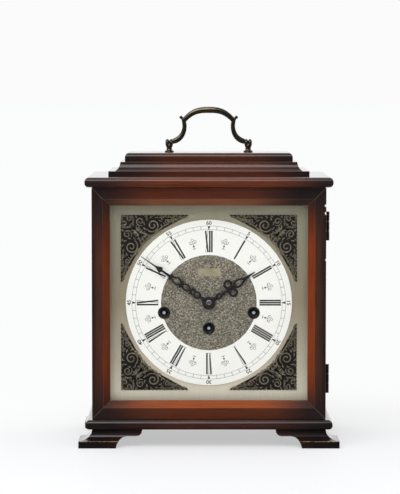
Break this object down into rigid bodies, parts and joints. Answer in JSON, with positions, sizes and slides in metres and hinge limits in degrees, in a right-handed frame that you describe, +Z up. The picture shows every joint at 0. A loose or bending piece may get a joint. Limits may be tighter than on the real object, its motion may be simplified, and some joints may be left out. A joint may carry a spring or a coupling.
{
  "type": "bracket clock",
  "caption": "Mahogany bracket clock with a hinged glazed front, brass dial, swing carrying handle and a geared chiming movement.",
  "frame": {"origin": "centre of the clock's footprint on the surface it stands on", "axes": "+X to the right seen from the dial, +Y to the back, +Z up"},
  "size_m": [0.234, 0.156, 0.3048],
  "materials": {
    "case_wood": "polished dark mahogany lacquer",
    "inner_wood": "plain oiled",
    "aged_brass": "dark patina with worn highlights",
    "hinge_brass": "satin",
    "door_glass": "clear",
    "dial_brass": "brushed",
    "ring_silver": "silvered, with black figures",
    "matted_brass": "matted",
    "cast_brass": "cast and gilded",
    "blackened_steel": "blackened",
    "bright_steel": "polished",
    "works_brass": "polished",
    "iron": "painted black"
  },
  "bodies": {
    "case": {"base_plinth": "case_wood", "bracket_feet": "case_wood", "side_board_left": "case_wood", "side_board_right": "case_wood", "cornice_board": "case_wood", "top_moulding": "case_wood", "cap_block": "case_wood", "handle_posts": "aged_brass", "front_hinge_case_leaves": "hinge_brass", "back_hinge_case_leaves": "hinge_brass", "dial_plate": "dial_brass", "chapter_ring": "ring_silver", "dial_centre": "matted_brass", "corner_spandrels": "cast_brass", "name_plate": "cast_brass", "winding_bushes": "bright_steel", "dial_feet": "works_brass", "front_plate": "works_brass", "back_plate": "works_brass", "plate_pillars": "bright_steel", "balance_bridge": "works_brass", "hammer_spindle": "bright_steel", "rod_block": "iron", "chime_rods": "bright_steel"},
    "front_door": {"door_stile_left": "case_wood", "door_stile_right": "case_wood", "door_rail_bottom": "case_wood", "door_rail_top": "case_wood", "door_glass": "door_glass", "glazing_beads": "inner_wood", "front_hinge_door_leaves": "hinge_brass"},
    "rear_door": {"back_door": "case_wood", "back_door_knob": "hinge_brass", "back_hinge_door_leaves": "hinge_brass"},
    "handle": {"handle_bail": "aged_brass"},
    "centre_arbor": {"centre_wheel": "works_brass", "cannon_pinion": "works_brass", "minute_hand": "blackened_steel", "hand_nut": "bright_steel"},
    "hour_works": {"hour_wheel": "works_brass", "hour_hand": "blackened_steel"},
    "minute_works": {"minute_wheel": "works_brass"},
    "second_arbor": {"second_wheel": "works_brass"},
    "third_arbor": {"third_wheel": "works_brass"},
    "escape_arbor": {"escape_wheel": "works_brass"},
    "pallets": {"pallet_lever": "bright_steel"},
    "balance": {"balance_wheel": "works_brass"},
    "time_barrel_body": {"time_barrel": "works_brass"},
    "time_arbor_body": {"time_arbor": "bright_steel"},
    "time_click_body": {"time_click": "bright_steel"},
    "strike_barrel_body": {"strike_barrel": "works_brass"},
    "strike_arbor_body": {"strike_arbor": "bright_steel"},
    "strike_click_body": {"strike_click": "bright_steel"},
    "chime_barrel_body": {"chime_barrel": "works_brass"},
    "chime_arbor_body": {"chime_arbor": "bright_steel"},
    "chime_click_body": {"chime_click": "bright_steel"},
    "hammer_1": {"chime_hammer_1": "works_brass"},
    "hammer_2": {"chime_hammer_2": "works_brass"},
    "hammer_3": {"chime_hammer_3": "works_brass"},
    "hammer_4": {"chime_hammer_4": "works_brass"}
  },
  "joints": [
    {"name": "front_door_hinge", "type": "hinge", "parent": "case", "child": "front_door", "pos_m": [0.1068, -0.0513, 0.1287], "axis": [0, 0, 1], "range_deg": [0, 110]},
    {"name": "rear_door_hinge", "type": "hinge", "parent": "case", "child": "rear_door", "pos_m": [0.0968, 0.0678, 0.1287], "axis": [0, 0, -1], "range_deg": [0, 115]},
    {"name": "handle_swing", "type": "hinge", "parent": "case", "child": "handle", "pos_m": [0, 0, 0.2716], "axis": [1, 0, 0], "range_deg": [-90, 90]},
    {"name": "centre_turn", "type": "hinge", "parent": "case", "child": "centre_arbor", "pos_m": [0, -0.02, 0.1287], "axis": [0, 1, 0], "continuous": true},
    {"name": "hour_turn", "type": "hinge", "parent": "case", "child": "hour_works", "pos_m": [0, -0.045, 0.1287], "axis": [0, 1, 0], "continuous": true},
    {"name": "minute_wheel_turn", "type": "hinge", "parent": "case", "child": "minute_works", "pos_m": [0.0096, -0.042, 0.1359], "axis": [0, 1, 0], "continuous": true},
    {"name": "second_turn", "type": "hinge", "parent": "case", "child": "second_arbor", "pos_m": [0.0147, -0.02, 0.12306], "axis": [0, 1, 0], "continuous": true},
    {"name": "third_turn", "type": "hinge", "parent": "case", "child": "third_arbor", "pos_m": [-0.0072, -0.02, 0.14117], "axis": [0, 1, 0], "continuous": true},
    {"name": "escape_turn", "type": "hinge", "parent": "case", "child": "escape_arbor", "pos_m": [-0.0072, -0.02, 0.15267], "axis": [0, 1, 0], "continuous": true},
    {"name": "pallet_rock", "type": "hinge", "parent": "case", "child": "pallets", "pos_m": [-0.0072, -0.02, 0.16127], "axis": [0, 1, 0], "range_deg": [-3, 3]},
    {"name": "balance_swing", "type": "hinge", "parent": "case", "child": "balance", "pos_m": [-0.0072, 0.004, 0.17077], "axis": [0, 1, 0], "range_deg": [-220, 220], "stiffness_Nm_per_rad": 0.000012},
    {"name": "time_barrel_turn", "type": "hinge", "parent": "case", "child": "time_barrel_body", "pos_m": [0, -0.02, 0.1056], "axis": [0, 1, 0], "continuous": true},
    {"name": "time_winding_turn", "type": "hinge", "parent": "case", "child": "time_arbor_body", "pos_m": [0, -0.04, 0.1056], "axis": [0, 1, 0], "continuous": true},
    {"name": "time_click_lift", "type": "hinge", "parent": "case", "child": "time_click_body", "pos_m": [0.0065, -0.0415, 0.09434], "axis": [0, 1, 0], "range_deg": [0, 10], "stiffness_Nm_per_rad": 0.001},
    {"name": "strike_barrel_turn", "type": "hinge", "parent": "case", "child": "strike_barrel_body", "pos_m": [-0.0404, -0.02, 0.1196], "axis": [0, 1, 0], "continuous": true},
    {"name": "strike_winding_turn", "type": "hinge", "parent": "case", "child": "strike_arbor_body", "pos_m": [-0.0404, -0.04, 0.1196], "axis": [0, 1, 0], "continuous": true},
    {"name": "strike_click_lift", "type": "hinge", "parent": "case", "child": "strike_click_body", "pos_m": [-0.05262, -0.0415, 0.11515], "axis": [0, 1, 0], "range_deg": [0, 10], "stiffness_Nm_per_rad": 0.001},
    {"name": "chime_barrel_turn", "type": "hinge", "parent": "case", "child": "chime_barrel_body", "pos_m": [0.0404, -0.02, 0.1196], "axis": [0, 1, 0], "continuous": true},
    {"name": "chime_winding_turn", "type": "hinge", "parent": "case", "child": "chime_arbor_body", "pos_m": [0.0404, -0.04, 0.1196], "axis": [0, 1, 0], "continuous": true},
    {"name": "chime_click_lift", "type": "hinge", "parent": "case", "child": "chime_click_body", "pos_m": [0.05262, -0.0415, 0.11515], "axis": [0, 1, 0], "range_deg": [0, 10], "stiffness_Nm_per_rad": 0.001},
    {"name": "hammer_1_swing", "type": "hinge", "parent": "case", "child": "hammer_1", "pos_m": [0.0105, 0.0054, 0.0777], "axis": [1, 0, 0], "range_deg": [-15, 3]},
    {"name": "hammer_2_swing", "type": "hinge", "parent": "case", "child": "hammer_2", "pos_m": [0.0195, 0.0054, 0.0777], "axis": [1, 0, 0], "range_deg": [-15, 3]},
    {"name": "hammer_3_swing", "type": "hinge", "parent": "case", "child": "hammer_3", "pos_m": [0.0285, 0.0054, 0.0777], "axis": [1, 0, 0], "range_deg": [-15, 3]},
    {"name": "hammer_4_swing", "type": "hinge", "parent": "case", "child": "hammer_4", "pos_m": [0.0375, 0.0054, 0.0777], "axis": [1, 0, 0], "range_deg": [-15, 3]}
  ],
  "couplings": [
    {"joint": "hour_turn", "follows": "centre_turn", "ratio": 0.083333},
    {"joint": "minute_wheel_turn", "follows": "centre_turn", "ratio": -0.33333},
    {"joint": "second_turn", "follows": "centre_turn", "ratio": -0.16667},
    {"joint": "time_barrel_turn", "follows": "centre_turn", "ratio": 0.027778},
    {"joint": "third_turn", "follows": "centre_turn", "ratio": -8},
    {"joint": "escape_turn", "follows": "centre_turn", "ratio": 60}
  ]
}
